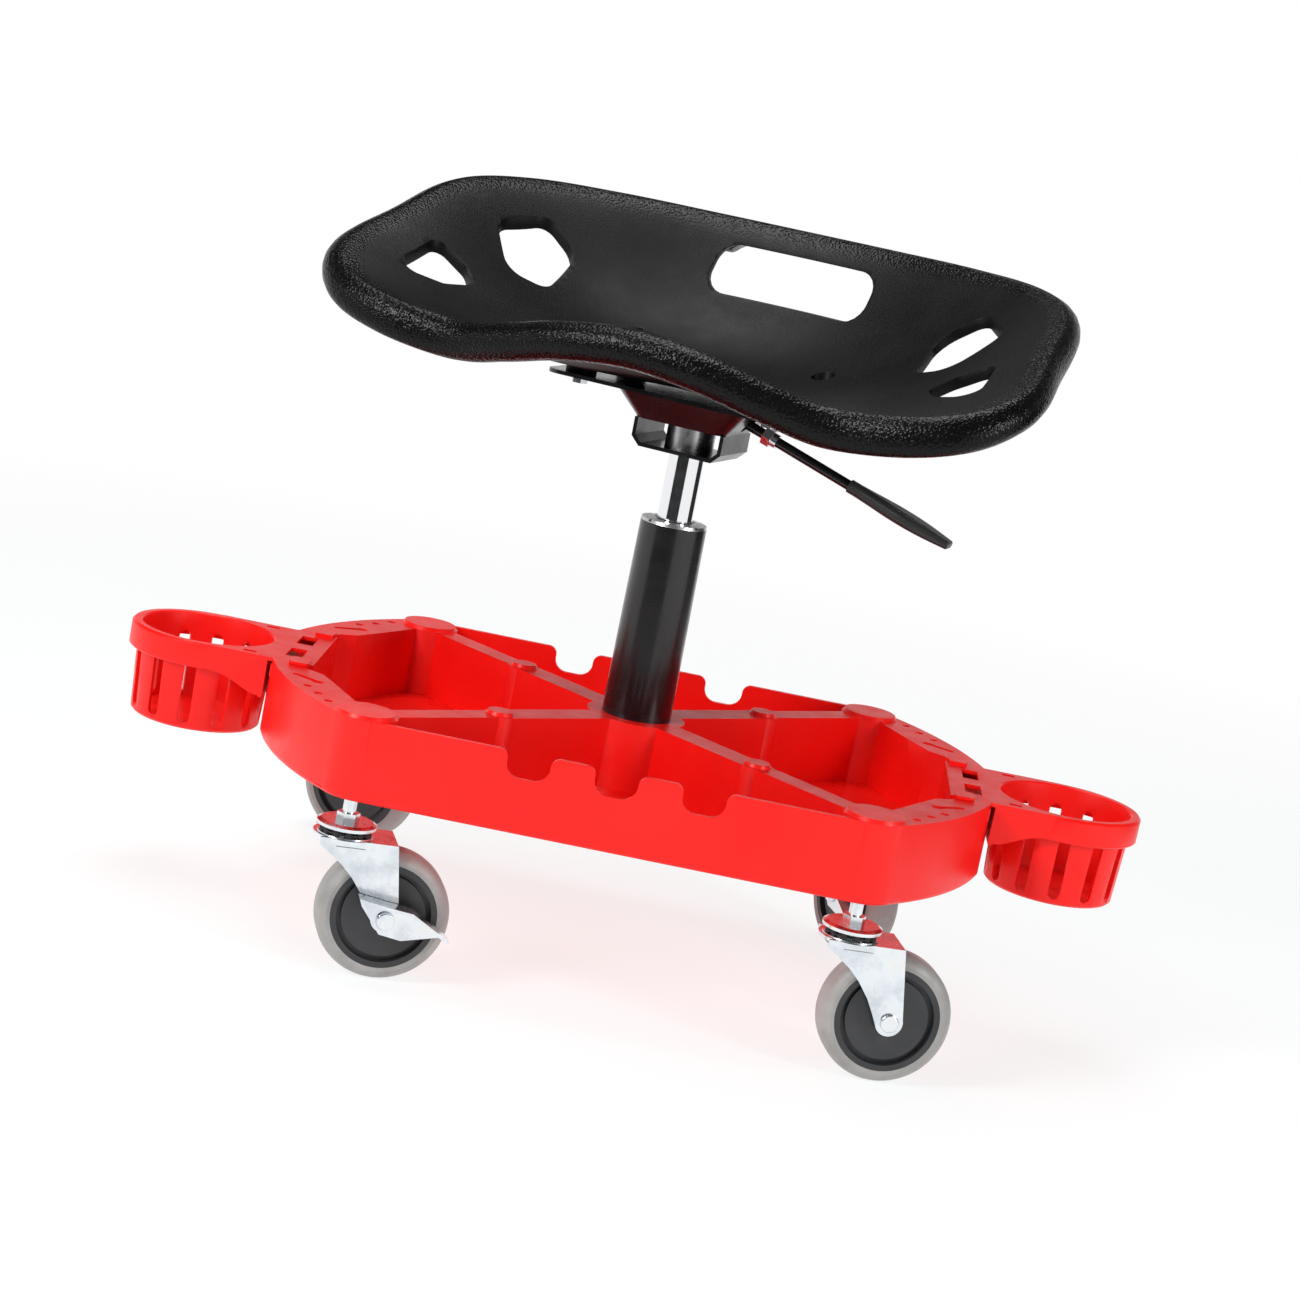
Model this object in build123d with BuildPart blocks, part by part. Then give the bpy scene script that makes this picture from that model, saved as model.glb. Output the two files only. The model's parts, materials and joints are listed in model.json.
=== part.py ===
"""Rolling mechanic's stool: four-caster tool tray, gas lift column, swivel tractor seat.

Millimetres, +Z up. The origin is on the floor under the column. +X runs along the tray's long side
and the front of the stool faces -Y.
"""
import os
from math import atan2, cos, degrees, hypot, pi, radians, sin

from build123d import *

os.makedirs("parts", exist_ok=True)

# ---- driving dimensions -------------------------------------------------------------------------
TRAY_BOTTOM = 136.0
TRAY_TOP = 198.0
TRAY_FLOOR = 143.0
TRAY_HALF_WIDTH = 200.0
TRAY_HALF_LENGTH = 285.0
TRAY_WALL = 4.0
PAD_RISE = 3.0

CASTER_X = 190.0
CASTER_Y = 178.0
BOSS_RADIUS = 24.0
SOCKET_RADIUS = 14.0

RIB_WIDTH = 24.0
RIB_WIDTH_OUTER = 20.0
RIB_PAD_RADIUS = 11.0
RIB_PAD_REACH = 136.5
HUB_RADIUS = 39.0
HUB_COLLAR_RADIUS = 34.0
POCKET_END = 254.0

COLUMN_RADIUS = 27.5
COLUMN_TOP_RADIUS = 26.1
COLUMN_BORE = 24.0
COLUMN_TOP = 353.0

GAS_TUBE_RADIUS = 14.0
GAS_TUBE_BORE = 12.0
GAS_TUBE_BOTTOM = 202.0
GAS_TUBE_TOP = 436.0
TAPER_START = 413.0
TAPER_TOP_RADIUS = 13.2
ROD_RADIUS = 5.0
RUNNING_FIT = 0.06

SEAT_YAW = 18.0
BRACKET_BOTTOM = 410.0
PAN_BOTTOM = 432.0
PLATE_BOTTOM = 455.0
PLATE_THICKNESS = 3.0
PLATE_LENGTH = 200.0
PLATE_DEPTH = 150.0
SEAT_FLOOR = 471.0
SEAT_SHELL = 10.0
SEAT_RIM_DEPTH = 22.0
SEAT_BOLT_X = 78.0
SEAT_BOLT_Y = 55.0

LEVER_Z = 446.0
LEVER_PIVOT_X = 30.0
LEVER_SLOPE = 17.0
LEVER_RADIUS = 4.0
LEVER_ROD_LENGTH = 125.0
GRIP_START = 108.0
GRIP_LENGTH = 90.0

CUP_X = 345.0
CUP_RIM_RADIUS = 60.0
CUP_MOUTH_RADIUS = 52.0
CUP_BASE_RADIUS = 51.0
CUP_BOTTOM = 126.0
CUP_WALL = 3.0
CUP_LIP_BOTTOM = 178.0
CUP_SLOTS = 12
HOLDER_GAP = 0.4

WHEEL_RADIUS = 50.0
TYRE_BORE = 40.0
TYRE_HALF_WIDTH = 15.0
CASTER_TRAIL = 37.0
FORK_INNER = 17.5
FORK_PLATE = 2.5
CROWN_BOTTOM = 104.0
CROWN_TOP = 106.5
RACE_TOP = 116.5
STEM_RADIUS = 5.0
STEM_TOP = 182.0
AXLE_RADIUS = 4.0

# Each caster: side of the tray in X and Y, and the heading of its trail, in degrees from +X.
CASTERS = {
    "front_left": (-1, -1, 15.0),
    "front_right": (1, -1, 12.0),
    "back_left": (-1, 1, 162.0),
    "back_right": (1, 1, -60.0),
}
BRAKED = ("front_left", "back_right")

SEAT_FRAME = Plane(origin=(0, 0, 0), x_dir=(cos(radians(SEAT_YAW)), -sin(radians(SEAT_YAW)), 0))


def placed(local, frame):
    """A plane given in a frame's own coordinates, as a plane of the whole stool."""
    return Plane(frame.location * local.location)


def local_axis(frame, point, direction):
    """An axis given in a frame's own coordinates, as an axis of the whole stool."""
    start = frame.from_local_coords(Vector(*point))
    end = frame.from_local_coords(Vector(*point) + Vector(*direction))
    return Axis(start, end - start)


def save(piece, name):
    """Label a finished piece and write it as its own node."""
    piece.part.label = name
    export_step(piece.part, f"parts/{name}.step")


COLUMN_BOTTOM = 140.0
COLUMN_FLOOR = 3.0
COLUMN_FLOOR_HOLE = 14.0
SLEEVE_BOTTOM = 300.0
BEARING_RADIUS = 16.0
BEARING_TOP = COLUMN_BOTTOM + COLUMN_FLOOR + 4.8
ROD_BOTTOM = 136.5
CLIP_BOTTOM = 138.3
CLIP_THICKNESS = 1.4
PISTON_TOP = 322.0
PISTON_LENGTH = 16.0
VALVE_HEAD = 12.0
PIN_RADIUS = 4.0
PIN_GAP = 0.6
PIN_TOP = LEVER_Z - LEVER_RADIUS - PIN_GAP
SOCKET_OUTER = 19.0
BRACKET_HALF_WIDTH = 37.0
BRACKET_DEPTH = 62.0
DRAIN_RADIUS = 2.5
PAN_TOP_LENGTH = 112.0
PAN_TOP_DEPTH = 96.0
PAN_WALL = 2.0
SEAT_BOLT_RADIUS = 4.0
LUG_REACH = 6.5
PIVOT_PIN_RADIUS = 1.5
FERRULE_START = 30.0
# distance from the grip's start, width and thickness of each section
GRIP_SECTIONS = [(0, 11, 10.5), (12, 12, 10.5), (34, 19, 11), (70, 21, 9), (GRIP_LENGTH, 14, 6)]

DECK_HALF_WIDTH = 58.5
DECK_WINDOW_X = 269.5
DECK_SLOT_X = 302.0
APRON_BOTTOM = 165.0
# The slots run outwards from inside the cup to just short of its turned-down lip.
SLOT_START = 44.0
SLOT_END = CUP_RIM_RADIUS - CUP_WALL - 0.4
SLOT_MIDDLE = 156.5
SLOT_HEIGHT = 52.0
SLOT_WIDTH = 9.5

RIVET_LENGTH = 6.0
RIVET_RADIUS = 8.0
RACE_RADIUS = 22.5
BALL_PITCH = 17.0
BALL_COUNT = 12
BALL_RADIUS = 2.6
CROWN_RADIUS = 24.0
CROWN_BACK = CASTER_TRAIL + 1.0
LEG_BOSS = 10.5
LEG_OUTLINE = [
    (-20, CROWN_TOP),
    (-20, CROWN_BOTTOM - 3),
    (-13, 96),
    (-1, 87),
    (8, 78),
    (17, 66),
    (23, 55),
    (CASTER_TRAIL - 9.6, WHEEL_RADIUS - 4),
    (CASTER_TRAIL + LEG_BOSS, WHEEL_RADIUS),
    (CROWN_BACK, CROWN_TOP),
]
RIB_OUTLINE = [(-8, 101), (14, 101), (CASTER_TRAIL - 16, 66)]
LEG_RIB = 1.2
AXLE_HEAD_RADIUS = 7.0
BUSH_RADIUS = 7.0
HUB_HALF_WIDTH = 14.0
HUB_GROOVE_OUTER = 35.5
HUB_GROOVE_INNER = 31.5
HUB_GROOVE_DEPTH = 6.0
HUB_DISH_DEPTH = 2.5
PEDAL_GAP = 0.3
PEDAL_PLATE = 2.2
PEDAL_FLANGE = 15.0
# outline and top flange of the pedal, from the axle, along the trail and up
PEDAL_OUTLINE = [(-23, 18), (-19, 9), (-3, -11), (14, -14), (48, -6.5), (18, 11.5), (0, 14)]
PEDAL_TREAD = [(-23, 18), (0, 14), (18, 11.5), (48, -6.5), (47, -8.5), (17, 9.3), (0, 11.8), (-22, 15.8)]

# ---- tool tray ----------------------------------------------------------------------------------
RIB_ANGLE = degrees(atan2(CASTER_Y, CASTER_X))
CORNERS = [(x, y) for x in (-CASTER_X, CASTER_X) for y in (-CASTER_Y, CASTER_Y)]
PAD_SCALE = RIB_PAD_REACH / hypot(CASTER_X, CASTER_Y)
RIB_PADS = [(x * PAD_SCALE, y * PAD_SCALE) for x, y in CORNERS]
# One quarter of the pocket boundary, from the side wall round to the middle of the end wall.
POCKET_QUARTER = [(0, 196), (178, 196), (199, 155), (221, 113), (238, 82), (252, 73), (POCKET_END, 58)]
TOOL_HOLES = [(221, 162), (232, 144), (243, 127)]
TOOL_HOLE_RADIUS = 3.5
KEYHOLE_START = (238, 109)
KEYHOLE_END = (257, 97)
KEYHOLE_LENGTH = 28.0
KEYHOLE_WIDTH = 6.0
NOTCH_X = (-65, 0, 65)
NOTCH_WIDTH = 32.0
NOTCH_DEPTH = 20.0
NOTCH_SHOULDER = 7.0
HOLDER_RECESS = 188.0
HOLDER_RECESS_HALF_WIDTH = 59.0
END_WALL_MIDDLE = 269.5
END_WALL_WIDTH = 26.0
DRAIN_HOLES = [(-172, 128), (172, 128)]


def quarter_points(points, sign_x, sign_y):
    return [(sign_x * x, sign_y * y) for x, y in points]


with BuildSketch() as tray_outline:
    with BuildLine():
        Line((0, TRAY_HALF_WIDTH), (182, TRAY_HALF_WIDTH))
        TangentArc((182, TRAY_HALF_WIDTH), (213, 186), tangent=(1, 0.12))
        ThreePointArc((213, 186), (258, 122), (284, 52))
        Line((284, 52), (TRAY_HALF_LENGTH, 0))
        mirror(about=Plane.XZ)
        mirror(about=Plane.YZ)
    make_face()

with BuildSketch() as tray_pockets:
    right_half = quarter_points(POCKET_QUARTER, 1, 1) + quarter_points(POCKET_QUARTER, 1, -1)[::-1]
    left_half = [(-x, y) for x, y in right_half]
    Polygon(*right_half, align=None)
    Polygon(*left_half, align=None)
    for turn in (RIB_ANGLE, -RIB_ANGLE):
        Rectangle(2 * RIB_PAD_REACH, RIB_WIDTH, rotation=turn, mode=Mode.SUBTRACT)
        Rectangle(2 * hypot(CASTER_X, CASTER_Y), RIB_WIDTH_OUTER, rotation=turn, mode=Mode.SUBTRACT)
    with Locations(*RIB_PADS):
        Circle(RIB_PAD_RADIUS + 2, mode=Mode.SUBTRACT)
    Circle(HUB_RADIUS, mode=Mode.SUBTRACT)
    with Locations(*CORNERS):
        Circle(BOSS_RADIUS, mode=Mode.SUBTRACT)

with BuildPart() as tool_tray:
    with BuildSketch(Plane.XY.offset(TRAY_BOTTOM)):
        add(tray_outline.sketch)
    extrude(amount=TRAY_TOP - TRAY_BOTTOM)
    fillet(tool_tray.edges().group_by(Axis.Z)[0], radius=4)
    # boxed ribs, rims and deck are hollow from below
    with BuildSketch(Plane.XY.offset(TRAY_BOTTOM)):
        add(tray_outline.sketch)
        offset(amount=-TRAY_WALL)
        with BuildSketch(mode=Mode.PRIVATE) as walls:
            add(tray_pockets.sketch)
            offset(amount=TRAY_WALL)
        add(walls.sketch, mode=Mode.SUBTRACT)
        Circle(HUB_COLLAR_RADIUS, mode=Mode.SUBTRACT)
        with Locations(*CORNERS):
            Circle(SOCKET_RADIUS, mode=Mode.SUBTRACT)
    extrude(amount=TRAY_TOP - TRAY_WALL - TRAY_BOTTOM, mode=Mode.SUBTRACT)
    # open pockets, their floor left whole
    with BuildSketch(Plane.XY.offset(TRAY_FLOOR)):
        add(tray_pockets.sketch)
    extrude(amount=TRAY_TOP - TRAY_FLOOR + PAD_RISE, mode=Mode.SUBTRACT)
    # seats for the cup holders across the end walls
    with BuildSketch(Plane.XY.offset(HOLDER_RECESS - TRAY_WALL)):
        with Locations((END_WALL_MIDDLE, 0), (-END_WALL_MIDDLE, 0)):
            Rectangle(END_WALL_WIDTH, 2 * (HOLDER_RECESS_HALF_WIDTH + TRAY_WALL))
    extrude(amount=TRAY_TOP - TRAY_WALL - (HOLDER_RECESS - TRAY_WALL))
    with BuildSketch(Plane.XY.offset(HOLDER_RECESS)):
        with Locations((END_WALL_MIDDLE, 0), (-END_WALL_MIDDLE, 0)):
            Rectangle(2 * END_WALL_WIDTH, 2 * HOLDER_RECESS_HALF_WIDTH)
    extrude(amount=TRAY_TOP - HOLDER_RECESS + PAD_RISE, mode=Mode.SUBTRACT)
    # raised pads over the casters and on the ribs
    with BuildSketch(Plane.XY.offset(TRAY_TOP)):
        with Locations(*CORNERS):
            Circle(BOSS_RADIUS - 1)
        with Locations(*RIB_PADS):
            Circle(RIB_PAD_RADIUS)
    extrude(amount=PAD_RISE, taper=25)
    # U notches for tool handles in the side walls
    for side in (-1, 1):
        with BuildSketch(Plane.XZ.offset(side * TRAY_HALF_WIDTH)):
            with Locations(*[(x, TRAY_TOP) for x in NOTCH_X]):
                RectangleRounded(NOTCH_WIDTH, 2 * NOTCH_DEPTH, radius=11)
            for shoulder in (-1, 1):
                middle = NOTCH_WIDTH / 2 + NOTCH_SHOULDER / 2
                with Locations(*[(x + shoulder * middle, TRAY_TOP - NOTCH_SHOULDER / 2) for x in NOTCH_X]):
                    Rectangle(NOTCH_SHOULDER + 1, NOTCH_SHOULDER)
            for shoulder in (-1, 1):
                middle = NOTCH_WIDTH / 2 + NOTCH_SHOULDER
                with Locations(*[(x + shoulder * middle, TRAY_TOP - NOTCH_SHOULDER) for x in NOTCH_X]):
                    Circle(NOTCH_SHOULDER, mode=Mode.SUBTRACT)
        extrude(amount=TRAY_WALL + 1, both=True, mode=Mode.SUBTRACT)
    # tool holes and keyholes through the end decks
    with BuildSketch(Plane.XY.offset(TRAY_TOP + 1)):
        for sign_x in (-1, 1):
            for sign_y in (-1, 1):
                with Locations(*quarter_points(TOOL_HOLES, sign_x, sign_y)):
                    Circle(TOOL_HOLE_RADIUS)
                start, end = quarter_points([KEYHOLE_START, KEYHOLE_END], sign_x, sign_y)
                middle = ((start[0] + end[0]) / 2, (start[1] + end[1]) / 2)
                lean = degrees(atan2(end[1] - start[1], end[0] - start[0]))
                with Locations(middle):
                    SlotOverall(KEYHOLE_LENGTH, KEYHOLE_WIDTH, rotation=lean)
                with Locations(start):
                    Circle(KEYHOLE_WIDTH * 0.75)
    extrude(amount=-(TRAY_WALL + 2), mode=Mode.SUBTRACT)
    # sockets, column bore and drains
    with BuildSketch(Plane.XY.offset(TRAY_BOTTOM - 1)):
        with Locations(*CORNERS):
            Circle(STEM_RADIUS)
    extrude(amount=STEM_TOP - TRAY_BOTTOM + 1, mode=Mode.SUBTRACT)
    with BuildSketch(Plane.XY.offset(COLUMN_BOTTOM)):
        Circle(COLUMN_RADIUS)
    extrude(amount=TRAY_TOP - COLUMN_BOTTOM + 1, mode=Mode.SUBTRACT)
    with BuildSketch(Plane.XY.offset(TRAY_BOTTOM - 1)):
        Circle(COLUMN_FLOOR_HOLE)
        with Locations(*DRAIN_HOLES):
            Circle(DRAIN_RADIUS)
    extrude(amount=TRAY_WALL + 8, mode=Mode.SUBTRACT)
save(tool_tray, "tool_tray")

# ---- gas lift column ----------------------------------------------------------------------------
with BuildPart() as column_tube:
    with BuildSketch(Plane.XZ):
        Polygon(
            (ROD_RADIUS + RUNNING_FIT, COLUMN_BOTTOM),
            (COLUMN_RADIUS, COLUMN_BOTTOM),
            (COLUMN_RADIUS, TRAY_TOP),
            (COLUMN_TOP_RADIUS, COLUMN_TOP),
            (COLUMN_BORE, COLUMN_TOP),
            (COLUMN_BORE, COLUMN_BOTTOM + COLUMN_FLOOR),
            (ROD_RADIUS + RUNNING_FIT, COLUMN_BOTTOM + COLUMN_FLOOR),
            align=None,
        )
    revolve(axis=Axis.Z)
save(column_tube, "column_tube")

with BuildPart() as guide_sleeve:
    with BuildSketch(Plane.XZ):
        Polygon(
            (GAS_TUBE_RADIUS + RUNNING_FIT, SLEEVE_BOTTOM),
            (COLUMN_BORE, SLEEVE_BOTTOM),
            (COLUMN_BORE, COLUMN_TOP),
            (COLUMN_TOP_RADIUS, COLUMN_TOP),
            (COLUMN_TOP_RADIUS - 0.6, COLUMN_TOP + 2.4),
            (GAS_TUBE_RADIUS + 3, COLUMN_TOP + 3),
            (GAS_TUBE_RADIUS + RUNNING_FIT, COLUMN_TOP + 2),
            align=None,
        )
    revolve(axis=Axis.Z)
    with BuildSketch(Plane.XY.offset(COLUMN_TOP + 0.8)):
        with PolarLocations(COLUMN_TOP_RADIUS - 0.5, 4, 45):
            Rectangle(4, 3)
    extrude(amount=4, mode=Mode.SUBTRACT)
save(guide_sleeve, "guide_sleeve")

BEARING_BOTTOM = COLUMN_BOTTOM + COLUMN_FLOOR
with BuildPart() as thrust_bearing:
    with BuildSketch(Plane.XY.offset(BEARING_BOTTOM)):
        Circle(BEARING_RADIUS)
        Circle(ROD_RADIUS + 0.3, mode=Mode.SUBTRACT)
    extrude(amount=1.5)
    with BuildSketch(Plane.XY.offset(BEARING_BOTTOM + 1.5)):
        with PolarLocations(BEARING_RADIUS - 4, 8):
            Circle(2.5)
        Circle(BEARING_RADIUS - 3.2)
        Circle(ROD_RADIUS + 0.3, mode=Mode.SUBTRACT)
    extrude(amount=3)
save(thrust_bearing, "thrust_bearing")

with BuildPart() as piston_rod:
    with BuildSketch(Plane.XY.offset(ROD_BOTTOM)):
        Circle(ROD_RADIUS)
    extrude(amount=PISTON_TOP - ROD_BOTTOM)
    with BuildSketch(Plane.XY.offset(BEARING_TOP)):
        Circle(ROD_RADIUS + 5)
    extrude(amount=3)
    fillet(piston_rod.edges().group_by(Axis.Z)[0], radius=1)
    # groove that the clip snaps into
    with BuildSketch(Plane.XY.offset(CLIP_BOTTOM)):
        Circle(ROD_RADIUS + 1)
        Circle(ROD_RADIUS - 1, mode=Mode.SUBTRACT)
    extrude(amount=CLIP_THICKNESS, mode=Mode.SUBTRACT)
save(piston_rod, "piston_rod")

with BuildPart() as rod_clip:
    with BuildSketch(Plane.XY.offset(CLIP_BOTTOM)):
        Circle(ROD_RADIUS + 3.5)
        Circle(ROD_RADIUS - 1, mode=Mode.SUBTRACT)
        with Locations((ROD_RADIUS, 0)):
            Rectangle(2 * ROD_RADIUS, ROD_RADIUS, mode=Mode.SUBTRACT)
    extrude(amount=CLIP_THICKNESS)
save(rod_clip, "rod_clip")

with BuildPart() as piston_head:
    with BuildSketch(Plane.XY.offset(PISTON_TOP - PISTON_LENGTH)):
        Circle(GAS_TUBE_BORE - RUNNING_FIT)
        Circle(ROD_RADIUS, mode=Mode.SUBTRACT)
    extrude(amount=PISTON_LENGTH)
    with BuildSketch(Plane.XY.offset(PISTON_TOP - 0.6 * PISTON_LENGTH)):
        Circle(GAS_TUBE_BORE)
        Circle(GAS_TUBE_BORE - 1.5, mode=Mode.SUBTRACT)
    extrude(amount=2.5, mode=Mode.SUBTRACT)
save(piston_head, "piston_head")

with BuildPart() as pressure_tube:
    with BuildSketch(Plane.XZ):
        Polygon(
            (GAS_TUBE_BORE, GAS_TUBE_BOTTOM),
            (GAS_TUBE_RADIUS, GAS_TUBE_BOTTOM),
            (GAS_TUBE_RADIUS, TAPER_START),
            (TAPER_TOP_RADIUS, GAS_TUBE_TOP),
            (PIN_RADIUS + RUNNING_FIT, GAS_TUBE_TOP),
            (PIN_RADIUS + RUNNING_FIT, GAS_TUBE_TOP - VALVE_HEAD),
            (GAS_TUBE_BORE, GAS_TUBE_TOP - VALVE_HEAD),
            align=None,
        )
    revolve(axis=Axis.Z)
save(pressure_tube, "pressure_tube")

with BuildPart() as rod_gland:
    with BuildSketch(Plane.XY.offset(GAS_TUBE_BOTTOM)):
        Circle(GAS_TUBE_BORE)
        Circle(ROD_RADIUS + RUNNING_FIT, mode=Mode.SUBTRACT)
    extrude(amount=18)
save(rod_gland, "rod_gland")

with BuildPart() as release_pin:
    with BuildSketch(Plane.XY.offset(GAS_TUBE_TOP - VALVE_HEAD - 6)):
        Circle(PIN_RADIUS)
    extrude(amount=PIN_TOP - (GAS_TUBE_TOP - VALVE_HEAD - 6))
    fillet(release_pin.edges().group_by(Axis.Z)[-1], radius=1)
save(release_pin, "release_pin")

# ---- seat mechanism, in the seat's own turned frame ----------------------------------------------
SEAT_BOLTS = [(x, y) for x in (-SEAT_BOLT_X, SEAT_BOLT_X) for y in (-SEAT_BOLT_Y, SEAT_BOLT_Y)]

with BuildPart() as taper_socket:
    with BuildSketch(placed(Plane.XZ, SEAT_FRAME)):
        Polygon(
            (GAS_TUBE_RADIUS, BRACKET_BOTTOM + 3),
            (SOCKET_OUTER, BRACKET_BOTTOM + 3),
            (SOCKET_OUTER, GAS_TUBE_TOP),
            (TAPER_TOP_RADIUS, GAS_TUBE_TOP),
            align=None,
        )
    revolve(axis=Axis.Z)
save(taper_socket, "taper_socket")

# Folded channel under the pan, open to the front and back.
with BuildPart() as seat_bracket:
    with BuildSketch(placed(Plane.XZ.offset(-BRACKET_DEPTH / 2), SEAT_FRAME)):
        with BuildLine():
            Polyline(
                (-BRACKET_HALF_WIDTH, PAN_BOTTOM),
                (-BRACKET_HALF_WIDTH, BRACKET_BOTTOM + 7),
                (-BRACKET_HALF_WIDTH + 7, BRACKET_BOTTOM),
                (BRACKET_HALF_WIDTH - 7, BRACKET_BOTTOM),
                (BRACKET_HALF_WIDTH, BRACKET_BOTTOM + 7),
                (BRACKET_HALF_WIDTH, PAN_BOTTOM),
                (BRACKET_HALF_WIDTH - 3, PAN_BOTTOM),
                (BRACKET_HALF_WIDTH - 3, BRACKET_BOTTOM + 8.3),
                (BRACKET_HALF_WIDTH - 8.3, BRACKET_BOTTOM + 3),
                (-BRACKET_HALF_WIDTH + 8.3, BRACKET_BOTTOM + 3),
                (-BRACKET_HALF_WIDTH + 3, BRACKET_BOTTOM + 8.3),
                (-BRACKET_HALF_WIDTH + 3, PAN_BOTTOM),
                close=True,
            )
        make_face()
    extrude(amount=BRACKET_DEPTH)
    with BuildSketch(Plane.XY.offset(BRACKET_BOTTOM - 1)):
        Circle(GAS_TUBE_RADIUS + 0.1)
    extrude(amount=6, mode=Mode.SUBTRACT)
save(seat_bracket, "seat_bracket")

# Pressed pan that spreads the load from the bracket to the seat plate; its top is open.
with BuildPart() as seat_pan:
    with BuildSketch(placed(Plane.XY.offset(PAN_BOTTOM), SEAT_FRAME)):
        RectangleRounded(2 * BRACKET_HALF_WIDTH, BRACKET_DEPTH + 6, radius=10)
    with BuildSketch(placed(Plane.XY.offset(PLATE_BOTTOM), SEAT_FRAME)):
        RectangleRounded(PAN_TOP_LENGTH, PAN_TOP_DEPTH, radius=14)
    loft()
    with BuildSketch(placed(Plane.XY.offset(PAN_BOTTOM + PAN_WALL), SEAT_FRAME)):
        RectangleRounded(2 * BRACKET_HALF_WIDTH - 4, BRACKET_DEPTH + 2, radius=8)
    with BuildSketch(placed(Plane.XY.offset(PLATE_BOTTOM), SEAT_FRAME)):
        RectangleRounded(PAN_TOP_LENGTH - 6, PAN_TOP_DEPTH - 6, radius=11)
    loft(mode=Mode.SUBTRACT)
    with BuildSketch(Plane.XY.offset(PAN_BOTTOM - 1)):
        Circle(SOCKET_OUTER)
    extrude(amount=PAN_WALL + 2, mode=Mode.SUBTRACT)
    # slot for the lever in the right wall
    with BuildSketch(placed(Plane.YZ.offset(BRACKET_HALF_WIDTH - 4), SEAT_FRAME)):
        with Locations((0, LEVER_Z + 1.5)):
            SlotOverall(25, 12, rotation=90)
    extrude(amount=30, mode=Mode.SUBTRACT)
save(seat_pan, "seat_pan")

with BuildPart() as seat_plate:
    with BuildSketch(placed(Plane.XY.offset(PLATE_BOTTOM), SEAT_FRAME)):
        RectangleRounded(PLATE_LENGTH, PLATE_DEPTH, radius=12)
        with Locations(*SEAT_BOLTS):
            Circle(SEAT_BOLT_RADIUS, mode=Mode.SUBTRACT)
    extrude(amount=PLATE_THICKNESS)
save(seat_plate, "seat_plate")

with BuildPart() as seat_bolts:
    with BuildSketch(placed(Plane.XY.offset(PLATE_BOTTOM - 5), SEAT_FRAME)):
        with Locations(*SEAT_BOLTS):
            RegularPolygon(radius=6.5, side_count=6)
    extrude(amount=5)
    with BuildSketch(placed(Plane.XY.offset(PLATE_BOTTOM), SEAT_FRAME)):
        with Locations(*SEAT_BOLTS):
            Circle(SEAT_BOLT_RADIUS)
    extrude(amount=PLATE_THICKNESS + 9)
save(seat_bolts, "seat_bolts")

# Two lugs under the seat plate and the pin that the lever rocks on.
with BuildPart() as lever_pivot:
    for side in (-1, 1):
        with BuildSketch(placed(Plane.XZ.offset(side * LUG_REACH), SEAT_FRAME)):
            with Locations((LEVER_PIVOT_X, (PLATE_BOTTOM + LEVER_Z - 4) / 2)):
                Rectangle(9, PLATE_BOTTOM - LEVER_Z + 4)
        extrude(amount=1, both=True)
    with BuildSketch(placed(Plane.XZ.offset(-LUG_REACH - 1), SEAT_FRAME)):
        with Locations((LEVER_PIVOT_X, LEVER_Z)):
            Circle(PIVOT_PIN_RADIUS)
    extrude(amount=2 * LUG_REACH + 2)
save(lever_pivot, "lever_pivot")

LEVER_FRAME = placed(Plane(origin=(LEVER_PIVOT_X, 0, LEVER_Z)), SEAT_FRAME)
SLOPE = radians(LEVER_SLOPE)


def along_lever(distance):
    """A point on the sloping part of the lever, in the lever's own frame."""
    return (distance * cos(SLOPE), 0, -distance * sin(SLOPE))


def across_lever(distance):
    """A plane square to the sloping part of the lever."""
    return placed(Plane(origin=along_lever(distance), x_dir=(0, 1, 0), z_dir=along_lever(1)), LEVER_FRAME)


with BuildPart() as lever_rod:
    with BuildLine(LEVER_FRAME) as lever_path:
        FilletPolyline((-LEVER_PIVOT_X - 6, 0, 0), (0, 0, 0), along_lever(LEVER_ROD_LENGTH), radius=14)
    with BuildSketch(placed(Plane(origin=(-LEVER_PIVOT_X - 6, 0, 0), z_dir=(1, 0, 0)), LEVER_FRAME)):
        Circle(LEVER_RADIUS)
    sweep(path=lever_path.wires()[0])
    with BuildSketch(placed(Plane.XZ.offset(-10), LEVER_FRAME)):
        Circle(PIVOT_PIN_RADIUS + RUNNING_FIT)
    extrude(amount=20, mode=Mode.SUBTRACT)
save(lever_rod, "lever_rod")

with BuildPart() as lever_grip:
    for distance, width, thickness in GRIP_SECTIONS:
        with BuildSketch(across_lever(GRIP_START + distance)):
            RectangleRounded(width, thickness, radius=thickness * 0.45)
    loft()
    fillet(lever_grip.faces().sort_by(Axis(along_lever(0), along_lever(1)))[-1].edges(), radius=1.5)
    with BuildSketch(across_lever(GRIP_START - 1)):
        Circle(LEVER_RADIUS)
    extrude(amount=LEVER_ROD_LENGTH - GRIP_START + 1, mode=Mode.SUBTRACT)
save(lever_grip, "lever_grip")

with BuildPart() as lever_ferrule:
    with BuildSketch(across_lever(FERRULE_START)):
        RegularPolygon(radius=7.5, side_count=6)
        Circle(LEVER_RADIUS, mode=Mode.SUBTRACT)
    extrude(amount=7)
    with BuildSketch(across_lever(FERRULE_START + 7)):
        Circle(5.6)
        Circle(LEVER_RADIUS, mode=Mode.SUBTRACT)
    extrude(amount=5)
save(lever_ferrule, "lever_ferrule")

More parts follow.
